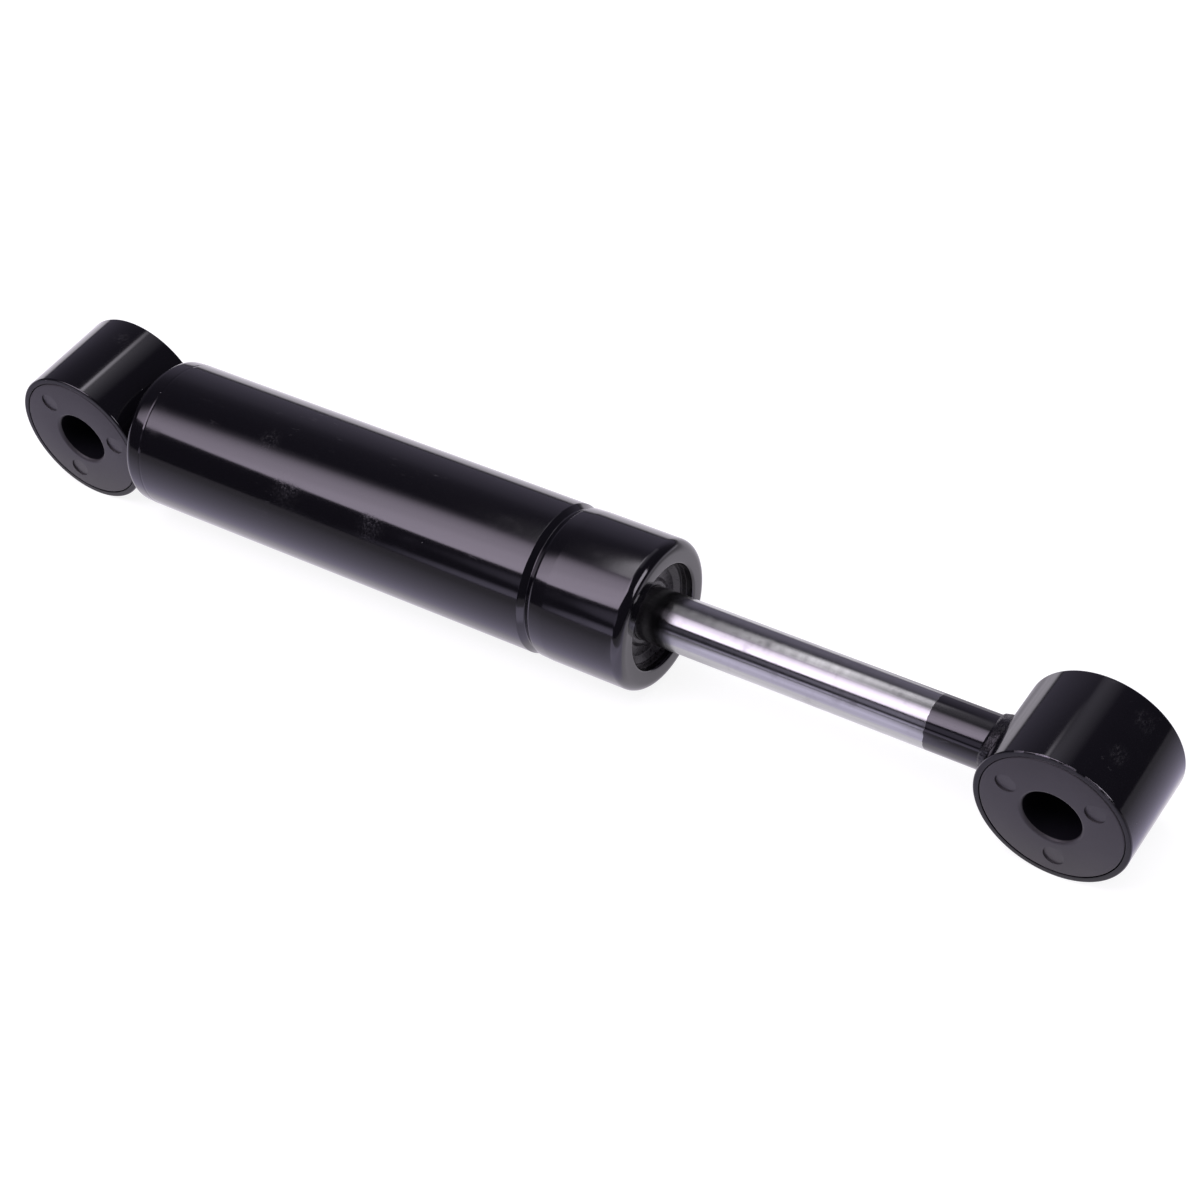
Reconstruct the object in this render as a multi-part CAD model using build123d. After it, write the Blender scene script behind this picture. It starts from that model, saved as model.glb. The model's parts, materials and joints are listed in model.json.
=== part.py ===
from build123d import *
from math import cos, pi, radians, sin, sqrt
import os

# Gas spring with an eye at each end, in millimetres.
# +X runs from the tube eye to the rod eye, +Y along the eye bores, +Z up.
# The origin is the middle of the tube eye's bore, and the spring is fully extended.

# Tube
TUBE_D = 28.0
TUBE_WALL = 1.5
LIP_BEND = 2.0
MOUTH_D = 19.6
MOUTH_ROUND = 0.7
GROOVE_DEPTH = 0.9
GROOVE_WIDTH = 1.2
GROOVE_ROUND = 0.25
GROOVE_DISH_WIDTH = 4.4
GROOVE_DISH_DEPTH = 0.3
GROOVE_DISH_ROUND = 3.0
GROOVE_BACK_ROUND = 0.7

# Rod
ROD_D = 10.0
SPIGOT_D = 7.0
SPIGOT_CHAMFER = 0.6
STROKE = 45.0
CHROME_LEFT = 8.3
PAINTED_LENGTH = 11.7

# Eyes, which are cut from the same stock as the tube
EYE_D = TUBE_D
EYE_WIDTH = 20.0
EYE_WALL = 1.1
EYE_EDGE_ROUND = 0.35
BORE_D = 10.5
BORE_EDGE_ROUND = 0.7
BUSHING_EDGE_ROUND = 0.3
PIN_MARK_COUNT = 3
PIN_MARK_D = 3.8
PIN_MARK_DEPTH = 0.2
TUBE_EYE_MARK_TURN = 11.0
ROD_EYE_MARK_TURN = 33.0

# Welds
WELD_ROOT = 0.3
TUBE_WELD_LEG = 2.6
ROD_WELD_LEG = 0.8
ROD_WELD_RUN = 2.2

# Plug in the closed end
PLUG_LENGTH = 7.0
PLUG_NECK_D = 13.0
PLUG_CHAMFER = 0.8

# Gas side and floating piston
GAS_LENGTH = 18.5
OIL_LEFT = 1.5
SEPARATOR_LENGTH = 7.0
SEPARATOR_WEB = 2.2
SEPARATOR_RIM = 3.6

# Piston
PISTON_LENGTH = 7.0
PISTON_GAP = 0.3
PISTON_CHAMFER = 0.5
PISTON_RING_WIDTH = 3.0
PISTON_RING_DEPTH = 1.9
PORT_COUNT = 6
PORT_D = 1.8
PORT_CIRCLE_D = 15.0
DISC_THICKNESS = 0.6
COMPRESSION_DISC_D = 18.4
REBOUND_DISC_D = 18.0
WASHER_THICKNESS = 1.0
WASHER_D = 13.0
STOP_THICKNESS = 1.2
STOP_D = 16.0
NUT_FLATS = 11.0
NUT_THICKNESS = 4.0
TIP_LENGTH = 1.0
BUMPER_LENGTH = 3.6
BUMPER_D = 17.0
BUMPER_ROUND = 0.8

# Guide and seal pack
REST_GAP = 0.3
GUIDE_LENGTH = 8.0
GUIDE_STANDOFF = 1.6
GUIDE_BUSH_WALL = 1.0
GUIDE_COUNTERBORE = 0.8
SEAL_LENGTH = 4.5
SEAL_LIP_ROOM = 0.9
SEAL_SLOT_DEPTH = 2.4
SPACER_LENGTH = 1.5
CAP_LENGTH = 3.6
CAP_RECESS = 1.8
CAP_LEDGE = 0.55
CAP_LEDGE_DEPTH = 1.0
CAP_SLOPE = 0.95
CAP_COLLAR = 1.3
CAP_COLLAR_HEIGHT = 0.4

# O-rings
CORD_D = 1.8
CORD_SQUEEZE = 0.1

# Fits, as gaps on the radius
RUNNING_GAP = 0.04
SEAT_GAP = 0.03
EYE_SEAT_GAP = 0.1
RING_SIDE_GAP = 0.05

# Radii that follow from the sizes above
tube_r = TUBE_D / 2
bore_r = tube_r - TUBE_WALL
mouth_r = MOUTH_D / 2
rod_r = ROD_D / 2
spigot_r = SPIGOT_D / 2
eye_r = EYE_D / 2
eye_bore_r = eye_r - EYE_WALL
cord_r = CORD_D / 2
fit_r = bore_r - SEAT_GAP
running_r = bore_r - RUNNING_GAP

# Places along X, from the tube eye to the rod eye
tube_start = eye_r + WELD_ROOT
plug_start = tube_start + TUBE_WALL
plug_end = plug_start + PLUG_LENGTH
separator_start = plug_end + GAS_LENGTH
separator_end = separator_start + SEPARATOR_LENGTH
separator_travel = STROKE * (rod_r / bore_r) ** 2
rod_start = separator_end - separator_travel + OIL_LEFT + STROKE
nut_start = rod_start + TIP_LENGTH
washer_start = nut_start + NUT_THICKNESS
compression_disc_start = washer_start + WASHER_THICKNESS
piston_start = compression_disc_start + DISC_THICKNESS
piston_end = piston_start + PISTON_LENGTH
stop_start = piston_end + DISC_THICKNESS
bumper_start = stop_start + STOP_THICKNESS
bumper_end = bumper_start + BUMPER_LENGTH
guide_start = bumper_end + REST_GAP
guide_end = guide_start + GUIDE_LENGTH
seal_end = guide_end + SEAL_LENGTH
spacer_end = seal_end + SPACER_LENGTH
cap_end = spacer_end + CAP_LENGTH
tube_end = cap_end + TUBE_WALL
groove_x = guide_start - GUIDE_STANDOFF
rod_eye_x = tube_end + STROKE + CHROME_LEFT + PAINTED_LENGTH + eye_r


def turned(corners):
    """Solid of revolution about X. A corner is (x, radius) or (x, radius, rounding)."""
    face = Face(Wire.make_polygon([(corner[0], 0, corner[1]) for corner in corners]))
    for x, radius, *rounding in corners:
        if rounding:
            vertex = face.vertices().sort_by_distance((x, 0, radius))[0]
            face = face.fillet_2d(rounding[0], [vertex])
    return revolve(face, Axis.X)


def across(x, shape):
    """A shape turned about X, laid along Y at a place on the spring's axis."""
    return Pos(x, 0, 0) * Rot(0, 0, 90) * shape


def on_circle(count, radius, turn=0.0):
    """Places (y, z) evenly spaced on a circle about X."""
    angles = [radians(turn) + 2 * pi * k / count for k in range(count)]
    return [(radius * cos(angle), radius * sin(angle)) for angle in angles]


def rod_along_x(x, length, radius, y=0.0, z=0.0):
    """Plain cylinder along X that starts at x."""
    return Pos(x + length / 2, y, z) * Rot(0, 90, 0) * Cylinder(radius, length)


def cord_ring(x, outer_r):
    """O-ring about X whose cord just reaches outer_r."""
    return Pos(x, 0, 0) * Rot(0, 90, 0) * Torus(outer_r - cord_r, cord_r)


def cord_groove(x, outer_r):
    """Groove for an O-ring whose cord reaches outer_r, to be cut from a piece about X."""
    half = cord_r + CORD_SQUEEZE
    floor_r = outer_r - CORD_D - SEAT_GAP
    return turned([(x - half, floor_r), (x + half, floor_r), (x + half, bore_r), (x - half, bore_r)])


def eye_blank(x):
    """The full cylinder of an eye, which saddle ends and welds are cut by."""
    return across(x, rod_along_x(-EYE_WIDTH, 2 * EYE_WIDTH, eye_r))


# Tube, plug and tube eye

def cylinder_tube():
    """Drawn tube rolled over at both ends, with a groove rolled in behind the guide."""
    slot, dish = GROOVE_WIDTH / 2, GROOVE_DISH_WIDTH / 2
    slot_edge_r = tube_r - GROOVE_DISH_DEPTH
    outer_bend, inner_bend = LIP_BEND, max(LIP_BEND - TUBE_WALL, TUBE_WALL / 10)
    left, right = tube_start, tube_end
    return turned([
        (left, mouth_r),
        (left, tube_r, outer_bend),
        (groove_x - dish, tube_r, GROOVE_DISH_ROUND),
        (groove_x - slot, slot_edge_r, GROOVE_ROUND),
        (groove_x, tube_r - GROOVE_DEPTH, GROOVE_ROUND),
        (groove_x + slot, slot_edge_r, GROOVE_ROUND),
        (groove_x + dish, tube_r, GROOVE_DISH_ROUND),
        (right, tube_r, outer_bend),
        (right, mouth_r, MOUTH_ROUND),
        (right - TUBE_WALL, mouth_r),
        (right - TUBE_WALL, bore_r, inner_bend),
        (groove_x + dish, bore_r, GROOVE_BACK_ROUND),
        (groove_x, bore_r - GROOVE_DEPTH, GROOVE_BACK_ROUND),
        (groove_x - dish, bore_r, GROOVE_BACK_ROUND),
        (left + TUBE_WALL, bore_r, inner_bend),
        (left + TUBE_WALL, mouth_r),
    ])


def plug_cord_x():
    return plug_end - PLUG_LENGTH / 2


def end_plug():
    """Steel plug behind the rolled lip. Its neck is saddle cut to sit on the tube eye."""
    neck_r = PLUG_NECK_D / 2
    spigot = mouth_r - SEAT_GAP
    plug = turned([
        (0, 0),
        (0, neck_r),
        (tube_start, neck_r),
        (tube_start, spigot),
        (plug_start, spigot),
        (plug_start, fit_r, PLUG_CHAMFER),
        (plug_end, fit_r, PLUG_CHAMFER),
        (plug_end, 0),
    ])
    return plug - eye_blank(0) - cord_groove(plug_cord_x(), fit_r)


def end_plug_seal():
    return cord_ring(plug_cord_x(), fit_r)


def eye_ring(x):
    """Short length of tube whose faces are flush with its bushing."""
    half = EYE_WIDTH / 2
    return across(x, turned([
        (-half, eye_bore_r),
        (-half, eye_r, EYE_EDGE_ROUND),
        (half, eye_r, EYE_EDGE_ROUND),
        (half, eye_bore_r),
    ]))


def eye_bushing(x, mark_turn):
    """Moulded bushing with rounded edges and the marks that ejector pins leave on one face."""
    half = EYE_WIDTH / 2
    outer_r, hole_r = eye_bore_r - EYE_SEAT_GAP, BORE_D / 2
    bushing = turned([
        (-half, hole_r, BORE_EDGE_ROUND),
        (-half, outer_r, BUSHING_EDGE_ROUND),
        (half, outer_r, BUSHING_EDGE_ROUND),
        (half, hole_r, BORE_EDGE_ROUND),
    ])
    bushing = across(x, bushing)
    for right, up in on_circle(PIN_MARK_COUNT, (hole_r + outer_r) / 2, mark_turn):
        mark = Cylinder(PIN_MARK_D / 2, 2 * PIN_MARK_DEPTH, rotation=(90, 0, 0))
        bushing -= Pos(x + right, -half, up) * mark
    return bushing


def tube_eye_weld():
    """Fillet weld that fills the wedge between the tube eye and the closed end."""
    neck_r = PLUG_NECK_D / 2 + SEAT_GAP
    bead_r = neck_r + TUBE_WELD_LEG
    toe = tube_start - TUBE_WELD_LEG
    bead = turned([
        (0, neck_r),
        (toe, bead_r - TUBE_WELD_LEG / 4),
        (tube_start, bead_r),
        (tube_start, neck_r),
    ])
    return bead - eye_blank(0)


# Floating piston between the gas and the oil

def separator_cord_x():
    return separator_end - SEPARATOR_LENGTH / 2


def separator_piston():
    """Cup that floats on the oil, open towards the gas."""
    floor = separator_end - SEPARATOR_WEB
    cup_r = running_r - SEPARATOR_RIM
    cup = turned([
        (separator_start, cup_r),
        (separator_start, running_r, PISTON_CHAMFER),
        (separator_end, running_r, PISTON_CHAMFER),
        (separator_end, 0),
        (floor, 0),
        (floor, cup_r, PISTON_CHAMFER),
    ])
    return cup - cord_groove(separator_cord_x(), running_r)


def separator_seal():
    return cord_ring(separator_cord_x(), running_r)


# Rod and what it carries

def piston_rod():
    """Ground rod with a spigot for the piston and a saddle end on the rod eye."""
    rod = turned([
        (rod_start, 0),
        (rod_start, spigot_r - SPIGOT_CHAMFER),
        (rod_start + SPIGOT_CHAMFER, spigot_r),
        (bumper_start, spigot_r),
        (bumper_start, rod_r),
        (rod_eye_x, rod_r),
        (rod_eye_x, 0),
    ])
    return rod - eye_blank(rod_eye_x)


def disc_on_spigot(x, thickness, diameter):
    """Flat ring threaded on the rod's spigot."""
    hole_r = spigot_r + SEAT_GAP
    return turned([(x, hole_r), (x, diameter / 2), (x + thickness, diameter / 2), (x + thickness, hole_r)])


def ring_floor_r():
    return running_r - PISTON_RING_DEPTH


def piston_middle():
    return (piston_start + piston_end) / 2


def piston():
    """Piston with a ring groove and a circle of oil ports."""
    land_r = bore_r - PISTON_GAP
    half = PISTON_RING_WIDTH / 2 + RING_SIDE_GAP
    middle = piston_middle()
    floor_r = ring_floor_r() - RUNNING_GAP
    body = turned([
        (piston_start, spigot_r + SEAT_GAP),
        (piston_start, land_r, PISTON_CHAMFER),
        (middle - half, land_r),
        (middle - half, floor_r),
        (middle + half, floor_r),
        (middle + half, land_r),
        (piston_end, land_r, PISTON_CHAMFER),
        (piston_end, spigot_r + SEAT_GAP),
    ])
    for y, z in on_circle(PORT_COUNT, PORT_CIRCLE_D / 2):
        body -= rod_along_x(piston_start, PISTON_LENGTH, PORT_D / 2, y, z)
    return body


def piston_ring():
    """Low-friction band that seals the piston on the bore."""
    half = PISTON_RING_WIDTH / 2
    middle = piston_middle()
    return turned([
        (middle - half, ring_floor_r()),
        (middle - half, running_r),
        (middle + half, running_r),
        (middle + half, ring_floor_r()),
    ])


def piston_nut():
    """Hexagon nut with chamfered corners."""
    flats_r = NUT_FLATS / 2
    corners_r = flats_r / cos(pi / 6)
    drop = (corners_r - flats_r) / 2
    hexagon = extrude(RegularPolygon(corners_r, 6), NUT_THICKNESS)
    hexagon = Pos(nut_start, 0, 0) * Rot(0, 90, 0) * hexagon
    trimmed = turned([
        (nut_start, 0),
        (nut_start, flats_r),
        (nut_start + drop, corners_r),
        (washer_start - drop, corners_r),
        (washer_start, flats_r),
        (washer_start, 0),
    ])
    return (hexagon & trimmed) - rod_along_x(nut_start, NUT_THICKNESS, spigot_r + SEAT_GAP)


def rebound_bumper():
    """Soft ring that meets the guide at the end of the stroke."""
    return turned([
        (bumper_start, rod_r + SEAT_GAP),
        (bumper_start, BUMPER_D / 2, BUMPER_ROUND),
        (bumper_end, BUMPER_D / 2, BUMPER_ROUND),
        (bumper_end, rod_r + SEAT_GAP),
    ])


def rod_eye_weld():
    """Weld bead round the rod's end, up to the rod eye."""
    root_r = rod_r + SEAT_GAP
    bead_r = root_r + ROD_WELD_LEG
    face = rod_eye_x - eye_r
    saddle_depth = eye_r - sqrt(eye_r ** 2 - bead_r ** 2)
    back = face + saddle_depth + WELD_ROOT
    crown = face + saddle_depth / 2
    bead = turned([
        (face - ROD_WELD_RUN, root_r),
        (face - ROD_WELD_RUN / 2, bead_r - ROD_WELD_LEG / 4, ROD_WELD_LEG / 2),
        (crown, bead_r, ROD_WELD_LEG / 4),
        (back, bead_r),
        (back, root_r),
    ])
    return bead - eye_blank(rod_eye_x)


# Guide and seal pack in the open end

def bush_r():
    return rod_r + RUNNING_GAP + GUIDE_BUSH_WALL


def guide_cord_x():
    return guide_end - GUIDE_LENGTH / 2


def rod_guide():
    """Guide that carries the bush. Its bevel lies along the flank of the rolled groove."""
    dish = GROOVE_DISH_WIDTH / 2
    bevel_drop = GROOVE_DEPTH * (1 - GUIDE_STANDOFF / dish)
    guide = turned([
        (guide_start, bush_r() + SEAT_GAP),
        (guide_start, fit_r - bevel_drop),
        (groove_x + dish, fit_r),
        (guide_end, fit_r),
        (guide_end, bush_r() + SEAT_GAP),
    ])
    return guide - cord_groove(guide_cord_x(), fit_r)


def guide_bush():
    """Thin bearing bush that the rod slides and turns in."""
    hole_r = rod_r + RUNNING_GAP
    start = guide_start + GUIDE_COUNTERBORE
    return turned([
        (start, hole_r),
        (start, bush_r()),
        (guide_end, bush_r()),
        (guide_end, hole_r),
    ])


def guide_seal():
    return cord_ring(guide_cord_x(), fit_r)


def rod_seal():
    """Lip seal with a slot on the pressure side."""
    lip_r = rod_r + RUNNING_GAP
    heel_r = lip_r + SEAL_LIP_ROOM / 2
    slot_r = (lip_r + fit_r) / 2
    slot_end = guide_end + SEAL_SLOT_DEPTH
    return turned([
        (guide_end + SEAL_LIP_ROOM, lip_r),
        (guide_end + SEAL_LIP_ROOM / 2, slot_r - SEAL_LIP_ROOM),
        (slot_end, slot_r - SEAL_LIP_ROOM / 2),
        (slot_end, slot_r + SEAL_LIP_ROOM / 2),
        (guide_end, slot_r + SEAL_LIP_ROOM),
        (guide_end, fit_r),
        (seal_end, fit_r),
        (seal_end, heel_r),
        (slot_end, heel_r),
    ])


def seal_spacer():
    """Washer that backs the lip seal."""
    hole_r = rod_r + PISTON_GAP
    return turned([(seal_end, hole_r), (seal_end, fit_r), (spacer_end, fit_r), (spacer_end, hole_r)])


def seal_cap():
    """Wiper disc that shows in the mouth: a ledge, a sunk face and a collar about the rod."""
    hole_r = rod_r + RUNNING_GAP
    wall_r = mouth_r - SEAT_GAP
    ledge = cap_end - CAP_LEDGE_DEPTH
    floor = cap_end - CAP_RECESS
    collar_top = floor + CAP_COLLAR_HEIGHT
    return turned([
        (spacer_end, hole_r),
        (spacer_end, fit_r),
        (cap_end, fit_r, PLUG_CHAMFER),
        (cap_end, wall_r),
        (ledge, wall_r),
        (ledge, wall_r - CAP_LEDGE),
        (floor, wall_r - CAP_LEDGE - CAP_SLOPE),
        (floor, hole_r + CAP_COLLAR),
        (collar_top, hole_r + CAP_COLLAR / 2),
        (collar_top, hole_r),
    ])


nodes = {
    "cylinder_tube": cylinder_tube(),
    "end_plug": end_plug(),
    "end_plug_seal": end_plug_seal(),
    "tube_eye_ring": eye_ring(0),
    "tube_eye_bushing": eye_bushing(0, TUBE_EYE_MARK_TURN),
    "tube_eye_weld": tube_eye_weld(),
    "separator_piston": separator_piston(),
    "separator_seal": separator_seal(),
    "piston_rod": piston_rod(),
    "piston_nut": piston_nut(),
    "piston_washer": disc_on_spigot(washer_start, WASHER_THICKNESS, WASHER_D),
    "compression_disc": disc_on_spigot(compression_disc_start, DISC_THICKNESS, COMPRESSION_DISC_D),
    "piston": piston(),
    "piston_ring": piston_ring(),
    "rebound_disc": disc_on_spigot(piston_end, DISC_THICKNESS, REBOUND_DISC_D),
    "rebound_stop": disc_on_spigot(stop_start, STOP_THICKNESS, STOP_D),
    "rebound_bumper": rebound_bumper(),
    "rod_eye_weld": rod_eye_weld(),
    "rod_eye_ring": eye_ring(rod_eye_x),
    "rod_eye_bushing": eye_bushing(rod_eye_x, ROD_EYE_MARK_TURN),
    "rod_guide": rod_guide(),
    "guide_bush": guide_bush(),
    "guide_seal": guide_seal(),
    "rod_seal": rod_seal(),
    "seal_spacer": seal_spacer(),
    "seal_cap": seal_cap(),
}

os.makedirs("parts", exist_ok=True)
for name, shape in nodes.items():
    export_step(shape, f"parts/{name}.step")

print("tube from", round(tube_start, 2), "to", round(tube_end, 2))
print("groove at", round(groove_x, 2), "rod eye at", round(rod_eye_x, 2))
print("separator travel", round(separator_travel, 2))
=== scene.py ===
# %% [markdown]
# # A gas spring, eye to eye
#
# The part is a short strut: a gloss black tube, a chromed rod that slides out of it, and a welded
# eye at each end with a moulded bushing in it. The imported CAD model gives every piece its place.
# This lesson dresses that model: it makes smooth, finished versions of the pieces that show, gives
# each surface a material made of nodes, and lights the part as in a plain photo studio.

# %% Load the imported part
import json
import math

import bmesh
import bpy
from mathutils import Matrix, Vector, noise


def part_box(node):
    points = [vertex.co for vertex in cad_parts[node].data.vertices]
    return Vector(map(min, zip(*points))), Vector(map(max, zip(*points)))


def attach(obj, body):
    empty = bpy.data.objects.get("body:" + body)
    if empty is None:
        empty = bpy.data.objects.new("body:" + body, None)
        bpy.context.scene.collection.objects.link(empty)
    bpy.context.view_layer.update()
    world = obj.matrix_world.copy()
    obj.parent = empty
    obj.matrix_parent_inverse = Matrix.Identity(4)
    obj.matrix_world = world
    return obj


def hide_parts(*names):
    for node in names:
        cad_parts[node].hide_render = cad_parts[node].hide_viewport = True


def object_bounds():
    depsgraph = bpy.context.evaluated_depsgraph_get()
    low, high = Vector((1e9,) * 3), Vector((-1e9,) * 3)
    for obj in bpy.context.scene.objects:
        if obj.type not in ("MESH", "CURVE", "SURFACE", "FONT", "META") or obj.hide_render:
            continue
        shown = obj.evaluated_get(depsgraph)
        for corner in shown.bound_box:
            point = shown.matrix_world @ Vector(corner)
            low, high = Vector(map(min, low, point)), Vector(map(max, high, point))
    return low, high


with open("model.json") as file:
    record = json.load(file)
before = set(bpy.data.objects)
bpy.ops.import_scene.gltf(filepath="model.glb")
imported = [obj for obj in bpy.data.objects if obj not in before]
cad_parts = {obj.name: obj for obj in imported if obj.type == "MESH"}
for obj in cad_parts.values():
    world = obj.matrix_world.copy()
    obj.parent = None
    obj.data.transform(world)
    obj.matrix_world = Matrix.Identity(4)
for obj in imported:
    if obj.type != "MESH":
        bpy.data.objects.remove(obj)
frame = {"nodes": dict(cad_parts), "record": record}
nodes = frame["nodes"]
cad_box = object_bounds()
print("pieces in the CAD model:", len(nodes))
print("CAD box in mm:", [[round(v * 1000, 2) for v in corner] for corner in cad_box])

# %% [markdown]
# ## Sizes
#
# Every length below is in millimetres, because that is how such a part is drawn, and MM turns it
# into Blender's metres. X runs along the spring from the middle of the tube eye, Y along the eye
# bores, and Z is up. The places along X are read from the CAD nodes, so that each new piece sits
# exactly where the solid that it stands for does.

# %% Name the sizes
MM = 0.001


def ends_along_x(node):
    """Where a CAD node starts and ends along X, in millimetres."""
    low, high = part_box(node)
    return low.x / MM, high.x / MM


TUBE_START, TUBE_END = ends_along_x("cylinder_tube")
CAP_START, CAP_END = ends_along_x("seal_cap")
ROD_START, ROD_FACE = ends_along_x("piston_rod")
BUMPER_START, BUMPER_END = ends_along_x("rebound_bumper")
ROD_EYE_X = sum(ends_along_x("rod_eye_ring")) / 2

TUBE_R = 14.0
TUBE_WALL = 1.5
BORE_R = TUBE_R - TUBE_WALL
MOUTH_R = 9.8
ROD_R = 5.0
SPIGOT_R = 3.5
EYE_R = 14.0
EYE_INNER_R = 12.9
EYE_HALF = 10.0
BUSHING_R = 12.8
HOLE_R = 5.25
NECK_R = 6.5
SEAT_GAP = 0.03
RUNNING_GAP = 0.04
GROOVE_X = BUMPER_END - 1.3

print("tube", round(TUBE_START, 2), "to", round(TUBE_END, 2), "groove at", round(GROOVE_X, 2))
print("rod", round(ROD_START, 2), "to", round(ROD_FACE, 2), "rod eye at", round(ROD_EYE_X, 2))

# %% [markdown]
# ## The camera
#
# The camera stands where the photographer's did: half a metre away, in front of the rod end and
# above it, looking down at 44 degrees. Its place and turn were found by fitting the outlines of the
# tube, the rod and the eyes, and the lens is a long one, so that the strut hardly tapers.

# %% Place the camera
camera_data = bpy.data.cameras.new("camera")
camera_data.lens = 84.34
camera_data.sensor_width = 36.0
camera_data.clip_start = 0.01
camera = bpy.data.objects.new("camera", camera_data)
camera.location = (0.33579, -0.27573, 0.34233)
camera.rotation_euler = [math.radians(turn) for turn in (45.568, 6.053, 33.101)]
bpy.context.scene.collection.objects.link(camera)
bpy.context.scene.camera = camera
print("camera at", [round(v, 3) for v in camera.location])

# %% [markdown]
# ## Turned pieces
#
# Nearly every piece of a strut is turned or rolled, so it is the same all the way round. The
# cheapest exact way to model that is the lathe: draw half of the section as a line of corners,
# round the corners, and spin the line about the axis. Rounding first and spinning after gives long
# clean quads that shade smoothly in gloss paint, where a boolean or a subdivided cylinder would
# show ripples. A corner is (along, radius) or (along, radius, rounding).

# %% Make a lathe
ROUND_SEGMENTS = 10
SPIN_STEPS = 144


def section(corners, closed=True):
    """The line of a turned piece, its corners rounded, in the plane of X and Z."""
    bm = bmesh.new()
    points = [bm.verts.new((corner[0] * MM, 0, corner[1] * MM)) for corner in corners]
    for start, end in zip(points, points[1:] + points[:1]):
        if closed or end is not points[0]:
            bm.edges.new((start, end))
    for point, corner in zip(points, corners):
        if len(corner) > 2:
            sides = [edge.other_vert(point).co - point.co for edge in point.link_edges]
            turn = math.pi - sides[0].angle(sides[1])
            reach = corner[2] * MM * math.tan(turn / 2)
            segments = max(5, round(ROUND_SEGMENTS * turn / (math.pi / 2)))
            bmesh.ops.bevel(bm, geom=[point], offset=reach, segments=segments, profile=0.5,
                            affect="VERTICES", material=-1)
    return bm


def finish_mesh(bm, name, sharp=35.0):
    """Closes seams, points the faces outwards and makes the object."""
    bmesh.ops.remove_doubles(bm, verts=bm.verts, dist=1e-6)
    bmesh.ops.recalc_face_normals(bm, faces=bm.faces)
    mesh = bpy.data.meshes.new(name)
    bm.to_mesh(mesh)
    bm.free()
    mesh.shade_smooth()
    mesh.set_sharp_from_angle(angle=math.radians(sharp))
    piece = bpy.data.objects.new(name, mesh)
    bpy.context.scene.collection.objects.link(piece)
    print(f"{name}: {len(mesh.polygons)} faces")
    return piece


def spin(bm, steps=SPIN_STEPS):
    """Spins a section all the way round X."""
    bmesh.ops.spin(bm, geom=bm.verts[:] + bm.edges[:], cent=(0, 0, 0), axis=(1, 0, 0),
                   angle=2 * math.pi, steps=steps, use_merge=True)
    bmesh.ops.remove_doubles(bm, verts=bm.verts, dist=1e-6)
    bmesh.ops.recalc_face_normals(bm, faces=bm.faces)
    return bm


def lay_across(bm, x):
    """Lays a piece that was turned about X along Y, at a place on the spring's axis."""
    quarter = Matrix.Rotation(math.pi / 2, 3, "Z")
    bmesh.ops.rotate(bm, verts=bm.verts, cent=(0, 0, 0), matrix=quarter)
    bmesh.ops.translate(bm, verts=bm.verts, vec=(x * MM, 0, 0))
    return bm


# %% [markdown]
# ## Tools for nodes
#
# A material, a lamp and the world are all trees of nodes in Blender. Adding each node and link by
# hand takes many lines, so this class has a short call for every kind that is used below: sums,
# masks with soft edges, curves through a few stops, and mixes of two colours or two numbers.

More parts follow.
